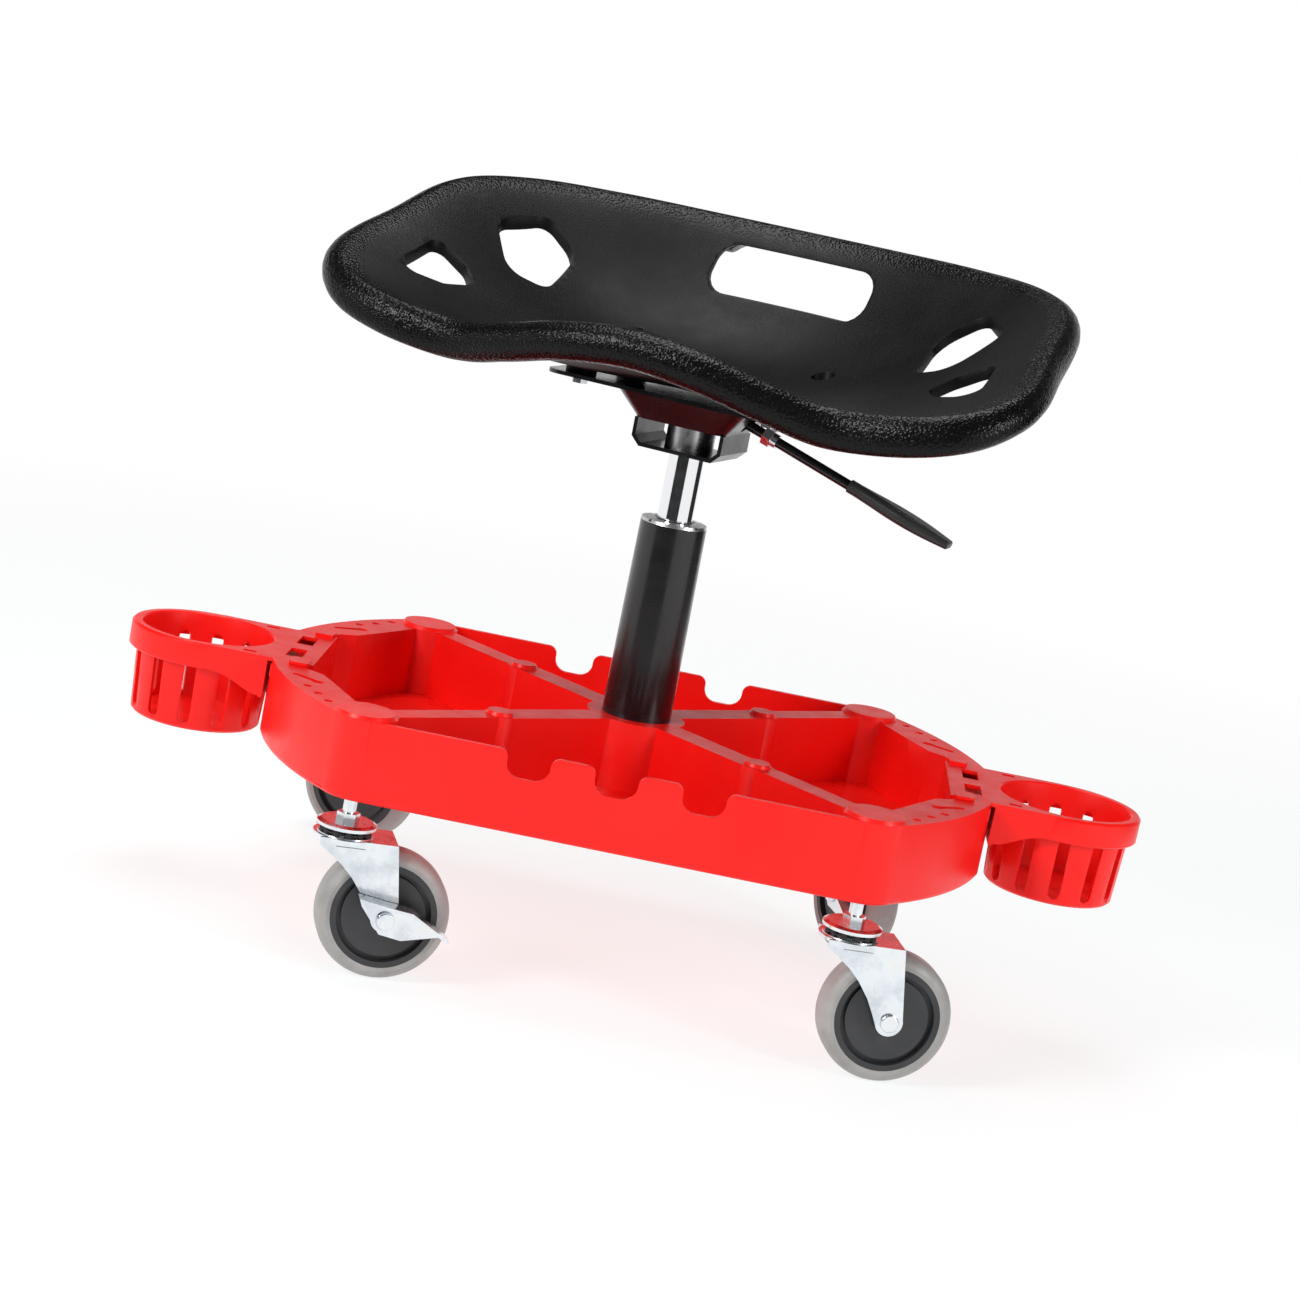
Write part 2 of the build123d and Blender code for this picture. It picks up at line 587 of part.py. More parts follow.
# ---- seat shell ---------------------------------------------------------------------------------
# Plan of the rim's outer edge and height of its crest, on the right side, from the pommel round
# to the middle of the back.
SEAT_CENTRE_Y = -20.0
RIM_EDGE = [
    (0, -178, 514),
    (60, -175, 507),
    (112, -163, 494),
    (158, -152, 485),
    (214, -153, 491),
    (258, -140, 503),
    (284, -103, 522),
    (281, -20, 552),
    (268, 60, 581),
    (230, 116, 591),
    (165, 162, 594),
    (83, 196, 594),
    (0, 206, 594),
]
# The bowl levels off towards the crest from this share of the way out, and the rim thickens from
# RIM_START on.
CREST_REACH = 0.93
CREST_SHARPNESS = 5.0
RIM_START = 0.78
SEAT_STEP = 12.0
# Plan outlines of the two openings in the right side wall; the left side mirrors them.
REAR_OPENING = [(216, 50), (190, 92), (156, 88), (155, 34), (184, 16)]
SIDE_OPENING = [(236, -80), (232, -20), (203, -22), (187, -38), (200, -64), (219, -78)]
HAND_SLOT_LENGTH = 152.0
HAND_SLOT_HEIGHT = 44.0
HAND_SLOT_Z = 546.0


def rim_at(turn):
    """Outer radius and crest height of the rim at an angle about the seat's centre, -90 to 90 degrees."""
    turns = [atan2(y - SEAT_CENTRE_Y, x) for x, y, z in RIM_EDGE]
    values = [(hypot(x, y - SEAT_CENTRE_Y), z) for x, y, z in RIM_EDGE]
    last = len(turns) - 1
    place = min(max(i for i in range(last) if turns[i] <= turn + 1e-9), last - 1)
    span = turns[place + 1] - turns[place]
    t = (turn - turns[place]) / span
    result = []
    for k in range(2):
        slopes = []
        for i in (place, place + 1):
            if i in (0, last):
                slopes.append(0.0)
            else:
                slopes.append((values[i + 1][k] - values[i - 1][k]) / (turns[i + 1] - turns[i - 1]))
        low, high = values[place][k], values[place + 1][k]
        result.append(
            low * (1 + 2 * t) * (1 - t) ** 2
            + high * t * t * (3 - 2 * t)
            + span * (slopes[0] * t * (1 - t) ** 2 - slopes[1] * t * t * (1 - t))
        )
    return result


def levelled(reach, power):
    """A power curve that levels off smoothly at the crest."""
    bend = power * CREST_SHARPNESS
    return reach**power / (1 + (reach / CREST_REACH) ** bend) ** (1 / CREST_SHARPNESS)


def seat_top(x, y):
    """Height of the seat's upper face, and how far out the point is, 1 being the rim's edge."""
    turn = atan2(y - SEAT_CENTRE_Y, abs(x))
    radius, crest = rim_at(turn)
    reach = hypot(x, y - SEAT_CENTRE_Y) / radius
    power = 2.6 + 0.4 * sin(turn)
    return SEAT_FLOOR + (crest - SEAT_FLOOR) * levelled(reach, power) / levelled(1.0, power), reach


def seat_bottom(x, y):
    """Height of the seat's lower face, which drops at the rim."""
    top, reach = seat_top(x, y)
    t = min(max((reach - RIM_START) / (1 - RIM_START), 0), 1)
    return top - SEAT_SHELL - (SEAT_RIM_DEPTH - SEAT_SHELL) * t * t * (3 - 2 * t)


def seat_surface(height):
    """A smooth face over the whole seat, from a height at each place in the seat's frame."""
    columns = [-300 + SEAT_STEP * i for i in range(51)]
    rows = [-240 + SEAT_STEP * i for i in range(42)]
    grid = [[SEAT_FRAME.from_local_coords(Vector(x, y, height(x, y))) for y in rows] for x in columns]
    return Face.make_surface_from_array_of_points(grid, tol=0.5, min_deg=3, max_deg=3)


def rim_outline():
    """Points round the whole rim, in plan."""
    points = []
    for step in range(72):
        angle = -pi + 2 * pi * step / 72
        x, y = cos(angle), sin(angle)
        radius = rim_at(atan2(y, abs(x)))[0]
        points.append((radius * x, SEAT_CENTRE_Y + radius * y))
    return points


with BuildPart() as seat:
    with BuildSketch(SEAT_FRAME.offset(PLATE_BOTTOM - 40)):
        with BuildLine():
            Spline(*rim_outline(), periodic=True)
        make_face()
    extrude(amount=260)
    split(bisect_by=seat_surface(lambda x, y: seat_top(x, y)[0]), keep=Keep.BOTTOM)
    split(bisect_by=seat_surface(seat_bottom), keep=Keep.TOP)
    # screw bosses down to the plate
    for x, y in SEAT_BOLTS:
        with BuildSketch(SEAT_FRAME.offset(PLATE_BOTTOM + PLATE_THICKNESS)):
            with Locations((x, y)):
                Circle(12)
        extrude(amount=seat_bottom(x, y) + 4 - PLATE_BOTTOM - PLATE_THICKNESS)
        with BuildSketch(SEAT_FRAME.offset(PLATE_BOTTOM + PLATE_THICKNESS)):
            with Locations((x, y)):
                Circle(SEAT_BOLT_RADIUS)
        extrude(amount=9, mode=Mode.SUBTRACT)
        with BuildSketch(SEAT_FRAME.offset(seat_top(x, y)[0] - 3)):
            with Locations((x, y)):
                Circle(9)
        extrude(amount=20, mode=Mode.SUBTRACT)
    # hand slot through the back wall, openings through the side walls
    with BuildSketch(placed(Plane.XZ.offset(-240), SEAT_FRAME)):
        with Locations((0, HAND_SLOT_Z)):
            RectangleRounded(HAND_SLOT_LENGTH, HAND_SLOT_HEIGHT, radius=16)
    extrude(amount=130, mode=Mode.SUBTRACT)
    for side in (-1, 1):
        for opening in (REAR_OPENING, SIDE_OPENING):
            with BuildSketch(SEAT_FRAME.offset(PLATE_BOTTOM)):
                Polygon(*[(side * x, y) for x, y in opening], align=None)
                fillet(vertices(), radius=9)
            extrude(amount=200, mode=Mode.SUBTRACT)
save(seat, "seat")

# ---- cup holders --------------------------------------------------------------------------------
HOLDER_SIDES = {
    "left": Plane(origin=(0, 0, 0), x_dir=(-1, 0, 0)),
    "right": Plane(origin=(0, 0, 0), x_dir=(1, 0, 0)),
}


def make_cup_holder(frame):
    """A cup on a deck that hooks over the tray's end wall, drawn for the +X end of its frame."""
    inner_edge = POCKET_END - HOLDER_GAP - 3
    outer_edge = TRAY_HALF_LENGTH + HOLDER_GAP + 0.8
    with BuildPart() as holder:
        with BuildSketch(placed(Plane(origin=(CUP_X, 0, 0), x_dir=(1, 0, 0), z_dir=(0, -1, 0)), frame)):
            Polygon(
                (0, CUP_BOTTOM),
                (CUP_BASE_RADIUS - 2, CUP_BOTTOM),
                (CUP_BASE_RADIUS, CUP_BOTTOM + 2),
                (CUP_MOUTH_RADIUS + 2.6, TRAY_TOP - CUP_WALL),
                (CUP_RIM_RADIUS - CUP_WALL, TRAY_TOP - CUP_WALL),
                (CUP_RIM_RADIUS - CUP_WALL, CUP_LIP_BOTTOM),
                (CUP_RIM_RADIUS - 1, CUP_LIP_BOTTOM),
                (CUP_RIM_RADIUS, CUP_LIP_BOTTOM + 1),
                (CUP_RIM_RADIUS, TRAY_TOP - 2),
                (CUP_RIM_RADIUS - 2, TRAY_TOP),
                (CUP_MOUTH_RADIUS + 1.2, TRAY_TOP),
                (CUP_MOUTH_RADIUS, TRAY_TOP - 1.2),
                (CUP_BASE_RADIUS - CUP_WALL, CUP_BOTTOM + CUP_WALL),
                (0, CUP_BOTTOM + CUP_WALL),
                align=None,
            )
        revolve(axis=local_axis(frame, (CUP_X, 0, 0), (0, 0, 1)))
        # deck, inner hook and outer apron
        with BuildSketch(frame.offset(TRAY_TOP - CUP_WALL)):
            Polygon(
                (inner_edge, -DECK_HALF_WIDTH),
                (CUP_X, -DECK_HALF_WIDTH),
                (CUP_X, DECK_HALF_WIDTH),
                (inner_edge, DECK_HALF_WIDTH),
                align=None,
            )
            with Locations((CUP_X, 0)):
                Circle(CUP_MOUTH_RADIUS + 3.5, mode=Mode.SUBTRACT)
            with Locations((DECK_WINDOW_X, -25), (DECK_WINDOW_X, 25)):
                Rectangle(13, 30, mode=Mode.SUBTRACT)
            with Locations((DECK_SLOT_X, -50), (DECK_SLOT_X, 50)):
                Rectangle(10, 6, mode=Mode.SUBTRACT)
        extrude(amount=CUP_WALL)
        with BuildSketch(frame.offset(TRAY_TOP - 18)):
            with Locations((inner_edge + 1.5, 0)):
                Rectangle(3, 2 * DECK_HALF_WIDTH)
        extrude(amount=18)
        with BuildSketch(frame.offset(APRON_BOTTOM)):
            with Locations((outer_edge + 1.5, 0)):
                Rectangle(3, 2 * DECK_HALF_WIDTH)
            with Locations((CUP_X, 0)):
                Circle(CUP_MOUTH_RADIUS + 1.4, mode=Mode.SUBTRACT)
        extrude(amount=TRAY_TOP - APRON_BOTTOM)
        # side cheeks that sweep up from the apron to the cup's lip
        for side in (-1, 1):
            cheek_start = DECK_HALF_WIDTH if side > 0 else -DECK_HALF_WIDTH + CUP_WALL
            with BuildSketch(placed(Plane.XZ.offset(-cheek_start), frame)):
                with BuildLine():
                    Polyline(
                        (outer_edge + 1, APRON_BOTTOM + 1),
                        (outer_edge + 1, TRAY_TOP - 1),
                        (CUP_X - 9, TRAY_TOP - 1),
                        (CUP_X - 9, CUP_LIP_BOTTOM + 1),
                    )
                    Bezier(
                        (CUP_X - 9, CUP_LIP_BOTTOM + 1),
                        (outer_edge + 22, CUP_LIP_BOTTOM + 1),
                        (outer_edge + 18, APRON_BOTTOM + 1),
                        (outer_edge + 1, APRON_BOTTOM + 1),
                    )
                make_face()
            extrude(amount=CUP_WALL)
        # rolled ears that bear on the tray's deck beside the end wall
        with BuildSketch(frame.offset(TRAY_TOP + HOLDER_GAP)):
            for side in (-1, 1):
                with Locations((inner_edge + 10, side * (DECK_HALF_WIDTH + 3))):
                    RectangleRounded(16, 16, radius=4)
        extrude(amount=2.4)
        with BuildSketch(frame.offset(TRAY_TOP - 1)):
            for side in (-1, 1):
                with Locations((inner_edge + 10, side * (DECK_HALF_WIDTH - 4.5))):
                    Rectangle(14, 8.6)
        extrude(amount=HOLDER_GAP + 3.4)
        # slots through the cup's wall
        for index in range(CUP_SLOTS):
            angle = 2 * pi * index / CUP_SLOTS
            out = (cos(angle), sin(angle), 0)
            across = (-sin(angle), cos(angle), 0)
            start = (CUP_X + SLOT_START * out[0], SLOT_START * out[1], SLOT_MIDDLE)
            slot_plane = Plane(origin=start, x_dir=across, z_dir=out)
            with BuildSketch(placed(slot_plane, frame)):
                SlotOverall(SLOT_HEIGHT, SLOT_WIDTH, rotation=90)
            extrude(amount=SLOT_END - SLOT_START, mode=Mode.SUBTRACT)
    return holder


for side_name, holder_frame in HOLDER_SIDES.items():
    save(make_cup_holder(holder_frame), f"cup_holder_{side_name}")

# ---- casters ------------------------------------------------------------------------------------
# Each caster is drawn in its own frame: the stem's axis is Z, the wheel trails towards +X and turns
# about Y.


def caster_frame(name):
    side_x, side_y, heading = CASTERS[name]
    turn = radians(heading)
    return Plane(origin=(side_x * CASTER_X, side_y * CASTER_Y, 0), x_dir=(cos(turn), sin(turn), 0))


def side_plane(frame, y):
    """The plane across a caster at a local Y, facing +Y, with its X along the trail and its Y up."""
    return placed(Plane(origin=(0, y, 0), x_dir=(-1, 0, 0), z_dir=(0, 1, 0)), frame)


def side_points(points):
    """Trail and height of points, as drawn on a side plane, whose X runs against the trail."""
    return [(-x, z) for x, z in points]


def from_axle(points):
    """Trail and height of points that are given from the axle."""
    return [(CASTER_TRAIL + x, WHEEL_RADIUS + z) for x, z in points]


def disc(frame, y, radius, length, bore=0.0):
    """A round piece about the wheel's axis, from a local Y towards +Y."""
    with BuildSketch(side_plane(frame, y)) as face:
        with Locations((-CASTER_TRAIL, WHEEL_RADIUS)):
            Circle(radius)
            if bore:
                Circle(bore, mode=Mode.SUBTRACT)
    extrude(face.sketch, amount=length)


def make_stem(frame):
    """Threaded stem with its wrench flats, riveted over under the fork's crown."""
    with BuildPart() as stem:
        with BuildSketch(frame.offset(CROWN_BOTTOM - RIVET_LENGTH)):
            Circle(STEM_RADIUS)
        extrude(amount=STEM_TOP - 2 - CROWN_BOTTOM + RIVET_LENGTH)
        with BuildSketch(frame.offset(CROWN_BOTTOM - RIVET_LENGTH)):
            Circle(RIVET_RADIUS)
        extrude(amount=RIVET_LENGTH - 0.4)
        fillet(stem.edges().group_by(Axis.Z)[0], radius=2)
        with BuildSketch(frame.offset(RACE_TOP)):
            RegularPolygon(radius=8.7, side_count=6)
        extrude(amount=6)
        chamfer(stem.edges().group_by(Axis.Z)[-1], length=1)
    return stem


def make_upper_race(frame):
    """Pressed disc that stays still with the stem, its lip turned down round the balls."""
    with BuildPart() as race:
        with BuildSketch(placed(Plane.XZ, frame)):
            Polygon(
                (STEM_RADIUS, RACE_TOP),
                (RACE_RADIUS - 3, RACE_TOP),
                (RACE_RADIUS, RACE_TOP - 1.6),
                (RACE_RADIUS, RACE_TOP - 4),
                (RACE_RADIUS - 1.6, RACE_TOP - 4),
                (RACE_RADIUS - 3.4, RACE_TOP - 2.4),
                (STEM_RADIUS, RACE_TOP - 2.4),
                align=None,
            )
        revolve(axis=local_axis(frame, (0, 0, 0), (0, 0, 1)))
    return race


def make_ball_cage(frame):
    """Ring of caged balls between the two races."""
    with BuildPart() as cage:
        with BuildSketch(frame.offset(CROWN_TOP + 2)):
            Circle(BALL_PITCH + 2)
            Circle(BALL_PITCH - 2, mode=Mode.SUBTRACT)
        extrude(amount=1.2)
        with BuildSketch(frame.offset(CROWN_TOP + 0.8)):
            with PolarLocations(BALL_PITCH, BALL_COUNT):
                Circle(BALL_RADIUS)
        extrude(amount=RACE_TOP - 2.4 - 0.4 - CROWN_TOP - 0.8)
        balls = cage.edges().filter_by(GeomType.CIRCLE).filter_by(lambda e: e.radius <= BALL_RADIUS)
        fillet(balls.group_by(Axis.Z)[-1], radius=1.2)
    return cage


def make_fork(frame):
    """Pressed steel fork: crown, raised lower race and two legs down to the axle."""
    outer = FORK_INNER + FORK_PLATE
    with BuildPart() as fork:
        with BuildSketch(frame.offset(CROWN_BOTTOM)):
            Circle(CROWN_RADIUS)
            with Locations((CROWN_BACK / 2, 0)):
                Rectangle(CROWN_BACK, 2 * outer)
        extrude(amount=CROWN_TOP - CROWN_BOTTOM)
        with BuildSketch(frame.offset(CROWN_TOP)):
            Circle(RACE_RADIUS - 1)
        extrude(amount=0.8, taper=20)
        for side in (-1, 1):
            face = FORK_INNER if side > 0 else -outer
            with BuildSketch(side_plane(frame, face)):
                Polygon(*side_points(LEG_OUTLINE), align=None)
                with Locations((-CASTER_TRAIL, WHEEL_RADIUS)):
                    Circle(LEG_BOSS)
            extrude(amount=FORK_PLATE)
            # stiffening rib pressed out of each leg
            rib_face = outer if side > 0 else -outer - LEG_RIB
            with BuildSketch(side_plane(frame, rib_face)):
                Polygon(*side_points(RIB_OUTLINE), align=None)
            extrude(amount=LEG_RIB)
        with BuildSketch(frame.offset(CROWN_BOTTOM - 1)):
            Circle(STEM_RADIUS + RUNNING_FIT)
        extrude(amount=6, mode=Mode.SUBTRACT)
        with BuildSketch(side_plane(frame, -outer - 2)):
            with Locations((-CASTER_TRAIL, WHEEL_RADIUS)):
                Circle(AXLE_RADIUS)
        extrude(amount=2 * outer + 4, mode=Mode.SUBTRACT)
    return fork


def make_axle_bolt(frame, head_start):
    with BuildPart() as bolt:
        disc(frame, -head_start, AXLE_RADIUS, head_start + FORK_INNER + FORK_PLATE + 8)
        disc(frame, -head_start - 3, AXLE_HEAD_RADIUS, 3)
        fillet(bolt.faces().sort_by(local_axis(frame, (0, 0, 0), (0, 1, 0)))[0].edges(), radius=1.5)
    return bolt


def make_axle_nut(frame):
    with BuildPart() as nut:
        with BuildSketch(side_plane(frame, FORK_INNER + FORK_PLATE)):
            with Locations((-CASTER_TRAIL, WHEEL_RADIUS)):
                RegularPolygon(radius=7.5, side_count=6)
                Circle(AXLE_RADIUS, mode=Mode.SUBTRACT)
        extrude(amount=6.5)
    return nut


def make_wheel_bush(frame):
    with BuildPart() as bush:
        half = FORK_INNER - 0.4
        disc(frame, -half, BUSH_RADIUS, 2 * half, bore=AXLE_RADIUS + RUNNING_FIT)
    return bush


def make_wheel_hub(frame):
    """Moulded hub with a stepped face on both sides."""
    with BuildPart() as hub:
        disc(frame, -HUB_HALF_WIDTH, TYRE_BORE, 2 * HUB_HALF_WIDTH, bore=BUSH_RADIUS)
        for face in (-HUB_HALF_WIDTH - 1, HUB_HALF_WIDTH - HUB_GROOVE_DEPTH):
            with BuildSketch(side_plane(frame, face)):
                with Locations((-CASTER_TRAIL, WHEEL_RADIUS)):
                    Circle(HUB_GROOVE_OUTER)
                    Circle(HUB_GROOVE_INNER, mode=Mode.SUBTRACT)
            extrude(amount=HUB_GROOVE_DEPTH + 1, mode=Mode.SUBTRACT)
        for face in (-HUB_HALF_WIDTH - 1, HUB_HALF_WIDTH - HUB_DISH_DEPTH):
            with BuildSketch(side_plane(frame, face)):
                with Locations((-CASTER_TRAIL, WHEEL_RADIUS)):
                    Circle(HUB_GROOVE_INNER + 1)
                    Circle(BUSH_RADIUS + 4, mode=Mode.SUBTRACT)
            extrude(amount=HUB_DISH_DEPTH + 1, mode=Mode.SUBTRACT)
    return hub


def make_tyre(frame):
    """Soft tyre with a crowned tread."""
    with BuildPart() as tyre:
        with BuildSketch(placed(Plane.YZ.offset(CASTER_TRAIL), frame)):
            with BuildLine():
                bore = WHEEL_RADIUS + TYRE_BORE
                tread = 2 * WHEEL_RADIUS
                shoulder = [
                    (TYRE_HALF_WIDTH, bore + 3),
                    (TYRE_HALF_WIDTH - 3, tread - 2.6),
                    (TYRE_HALF_WIDTH - 9, tread),
                ]
                far_shoulder = [(-y, z) for y, z in shoulder]
                inner_edge = TYRE_HALF_WIDTH - 1
                Polyline(far_shoulder[0], (-inner_edge, bore), (inner_edge, bore), shoulder[0])
                ThreePointArc(*shoulder)
                Line(shoulder[2], far_shoulder[2])
                ThreePointArc(*far_shoulder)
            make_face()
        revolve(axis=local_axis(frame, (CASTER_TRAIL, 0, WHEEL_RADIUS), (0, 1, 0)))
    return tyre


def make_brake_pedal(frame):
    """Rocker on the axle's head side: a cheek plate with a flange to press on along its top."""
    back = -(FORK_INNER + FORK_PLATE + LEG_RIB + PEDAL_GAP)
    with BuildPart() as pedal:
        with BuildSketch(side_plane(frame, back - PEDAL_PLATE)):
            Polygon(*side_points(from_axle(PEDAL_OUTLINE)), align=None)
            with Locations((-CASTER_TRAIL, WHEEL_RADIUS)):
                Circle(AXLE_RADIUS + RUNNING_FIT, mode=Mode.SUBTRACT)
        extrude(amount=PEDAL_PLATE)
        with BuildSketch(side_plane(frame, back - PEDAL_FLANGE)):
            Polygon(*side_points(from_axle(PEDAL_TREAD)), align=None)
        extrude(amount=PEDAL_FLANGE)
    return pedal


for caster_name in CASTERS:
    this_frame = caster_frame(caster_name)
    leg_face = FORK_INNER + FORK_PLATE
    braked = caster_name in BRAKED
    head_start = leg_face + LEG_RIB + 2 * PEDAL_GAP + PEDAL_PLATE if braked else leg_face
    save(make_stem(this_frame), f"caster_stem_{caster_name}")
    save(make_upper_race(this_frame), f"upper_race_{caster_name}")
    save(make_ball_cage(this_frame), f"ball_cage_{caster_name}")
    save(make_fork(this_frame), f"caster_fork_{caster_name}")
    save(make_axle_bolt(this_frame, head_start), f"axle_bolt_{caster_name}")
    save(make_axle_nut(this_frame), f"axle_nut_{caster_name}")
    save(make_wheel_bush(this_frame), f"wheel_bush_{caster_name}")
    save(make_wheel_hub(this_frame), f"wheel_hub_{caster_name}")
    save(make_tyre(this_frame), f"tyre_{caster_name}")
    if braked:
        save(make_brake_pedal(this_frame), f"brake_pedal_{caster_name}")
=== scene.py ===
"""Looks of the rolling mechanic's stool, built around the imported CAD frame."""

import json
import math

import bmesh
import bpy
from mathutils import Matrix, Quaternion, Vector


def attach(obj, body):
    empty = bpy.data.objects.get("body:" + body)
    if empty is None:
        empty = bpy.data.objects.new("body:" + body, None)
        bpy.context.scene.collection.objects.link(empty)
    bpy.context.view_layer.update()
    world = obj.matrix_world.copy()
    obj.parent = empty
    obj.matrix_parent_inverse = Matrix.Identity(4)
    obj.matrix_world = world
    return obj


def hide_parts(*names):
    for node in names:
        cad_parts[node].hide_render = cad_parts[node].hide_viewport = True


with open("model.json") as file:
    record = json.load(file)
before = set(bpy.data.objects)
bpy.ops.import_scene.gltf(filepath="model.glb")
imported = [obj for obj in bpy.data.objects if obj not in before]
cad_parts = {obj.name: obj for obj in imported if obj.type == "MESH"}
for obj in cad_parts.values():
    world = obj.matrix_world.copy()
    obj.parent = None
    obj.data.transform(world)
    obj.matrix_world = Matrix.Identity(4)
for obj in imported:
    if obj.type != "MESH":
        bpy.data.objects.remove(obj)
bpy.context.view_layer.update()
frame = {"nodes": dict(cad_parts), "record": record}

MM = 0.001

# ---- camera ---------------------------------------------------------------------------------------
CAMERA_PLACE = (0.0493, -2.3108, 0.7126)
CAMERA_TARGET = (0.0009, 0.0, 0.2508)
CAMERA_ROLL = 11.16
CAMERA_LENS = 83.08
CAMERA_SENSOR = 36.0
CAMERA_REACH = 200.0


def make_camera():
    """A long lens a little above the tray, rolled so that the stool leans in the frame."""
    data = bpy.data.cameras.new("camera")
    data.lens = CAMERA_LENS
    data.sensor_width = CAMERA_SENSOR
    data.clip_end = CAMERA_REACH
    camera = bpy.data.objects.new("camera", data)
    bpy.context.scene.collection.objects.link(camera)
    camera.location = CAMERA_PLACE
    look = (Vector(CAMERA_TARGET) - camera.location).to_track_quat("-Z", "Y")
    roll = Quaternion((0, 0, 1), math.radians(CAMERA_ROLL))
    camera.rotation_mode = "QUATERNION"
    camera.rotation_quaternion = look @ roll
    bpy.context.scene.camera = camera


# ---- node helpers ---------------------------------------------------------------------------------
def new_material(name):
    """A material with only its output and a Principled shader."""
    material = bpy.data.materials.new(name)
    material.use_nodes = True
    tree = material.node_tree
    tree.nodes.clear()
    output = tree.nodes.new("ShaderNodeOutputMaterial")
    shader = tree.nodes.new("ShaderNodeBsdfPrincipled")
    tree.links.new(shader.outputs["BSDF"], output.inputs["Surface"])
    return material, tree, shader


def place_coordinates(tree):
    """The point's place in the row frame, in metres."""
    return tree.nodes.new("ShaderNodeTexCoord").outputs["Object"]


def noise(tree, scale, detail=3.0, roughness=0.5):
    """Cloudy noise, from 0 to 1."""
    node = tree.nodes.new("ShaderNodeTexNoise")
    tree.links.new(place_coordinates(tree), node.inputs["Vector"])
    node.inputs["Scale"].default_value = scale
    node.inputs["Detail"].default_value = detail
    node.inputs["Roughness"].default_value = roughness
    return node.outputs["Fac"]


def pebbles(tree, scale):
    """Soft round cells: 1 in the middle of each, 0 between them."""
    node = tree.nodes.new("ShaderNodeTexVoronoi")
    tree.links.new(place_coordinates(tree), node.inputs["Vector"])
    node.feature = "SMOOTH_F1"
    node.inputs["Scale"].default_value = scale
    return remap(tree, node.outputs["Distance"], 0.0, 0.6, 1.0, 0.0)


def remap(tree, value, low, high, to_low, to_high):
    """A value's place between low and high, as a place between to_low and to_high."""
    node = tree.nodes.new("ShaderNodeMapRange")
    tree.links.new(value, node.inputs["Value"])
    node.inputs["From Min"].default_value = low
    node.inputs["From Max"].default_value = high
    node.inputs["To Min"].default_value = to_low
    node.inputs["To Max"].default_value = to_high
    return node.outputs["Result"]


def arithmetic(tree, operation, first, second):
    """A Math node on two values, each a number or another node's output."""
    node = tree.nodes.new("ShaderNodeMath")
    node.operation = operation
    for socket, value in zip(node.inputs, (first, second)):
        if isinstance(value, (int, float)):
            socket.default_value = value
        else:
            tree.links.new(value, socket)
    return node.outputs["Value"]


def colours(tree, value, stops):
    """A colour ramp: stops are (place, (r, g, b))."""
    node = tree.nodes.new("ShaderNodeValToRGB")
    ramp = node.color_ramp
    while len(ramp.elements) < len(stops):
        ramp.elements.new(0.5)
    for element, (place, colour) in zip(ramp.elements, stops):
        element.position = place
        element.color = (*colour, 1.0)
    tree.links.new(value, node.inputs["Fac"])
    return node.outputs["Color"]


def bump(tree, shader, height, distance, strength, under=None):
    """Fine relief of a height that is up to distance metres, over another relief if under is given."""
    node = tree.nodes.new("ShaderNodeBump")
    node.inputs["Strength"].default_value = strength
    node.inputs["Distance"].default_value = distance
    tree.links.new(height, node.inputs["Height"])
    if under is not None:
        tree.links.new(under, node.inputs["Normal"])
    tree.links.new(node.outputs["Normal"], shader.inputs["Normal"])
    return node.outputs["Normal"]


# ---- materials ------------------------------------------------------------------------------------
# The seat's skin: cells per metre of the rim's pebble and of the bowl's grain, the grain's depth as a
# share of the pebble's, the pebble's depth in metres, and how much smoother the rim is than the bowl.
RIM_LAYER = "rim"
RIM_PEBBLES = 520.0
BOWL_GRAIN = 1000.0
BOWL_GRAIN_SHARE = 0.20
PEBBLE_DEPTH = 0.00045
RIM_GLOSS = 0.22


def red_plastic():
    """Saturated red moulding: slight colour drift, satin skin with a fine texture."""
    material, tree, shader = new_material("red_plastic")
    drift = noise(tree, 9.0, 2.0)
    base = colours(tree, drift, [(0.3, (0.86, 0.006, 0.004)), (0.7, (0.93, 0.010, 0.007))])
    tree.links.new(base, shader.inputs["Base Color"])
    tree.links.new(remap(tree, noise(tree, 60.0), 0.3, 0.7, 0.30, 0.40), shader.inputs["Roughness"])
    shader.inputs["Specular IOR Level"].default_value = 0.30
    shader.inputs["Subsurface Weight"].default_value = 0.06
    shader.inputs["Subsurface Radius"].default_value = (0.004, 0.001, 0.001)
    shader.inputs["Subsurface Scale"].default_value = 1.0
    waves = bump(tree, shader, noise(tree, 26.0, 1.0), 0.0006, 0.5)
    bump(tree, shader, noise(tree, 1400.0, 2.0), 0.00005, 0.6, waves)
    return material


def black_enamel():
    """Gloss black paint with faint orange peel."""
    material, tree, shader = new_material("black_enamel")
    shader.inputs["Base Color"].default_value = (0.004, 0.004, 0.005, 1.0)
    tree.links.new(remap(tree, noise(tree, 45.0, 4.0), 0.35, 0.75, 0.22, 0.34), shader.inputs["Roughness"])
    shader.inputs["Coat Weight"].default_value = 0.2
    shader.inputs["Coat Roughness"].default_value = 0.12
    bump(tree, shader, noise(tree, 420.0, 1.5), 0.00008, 0.5)
    return material


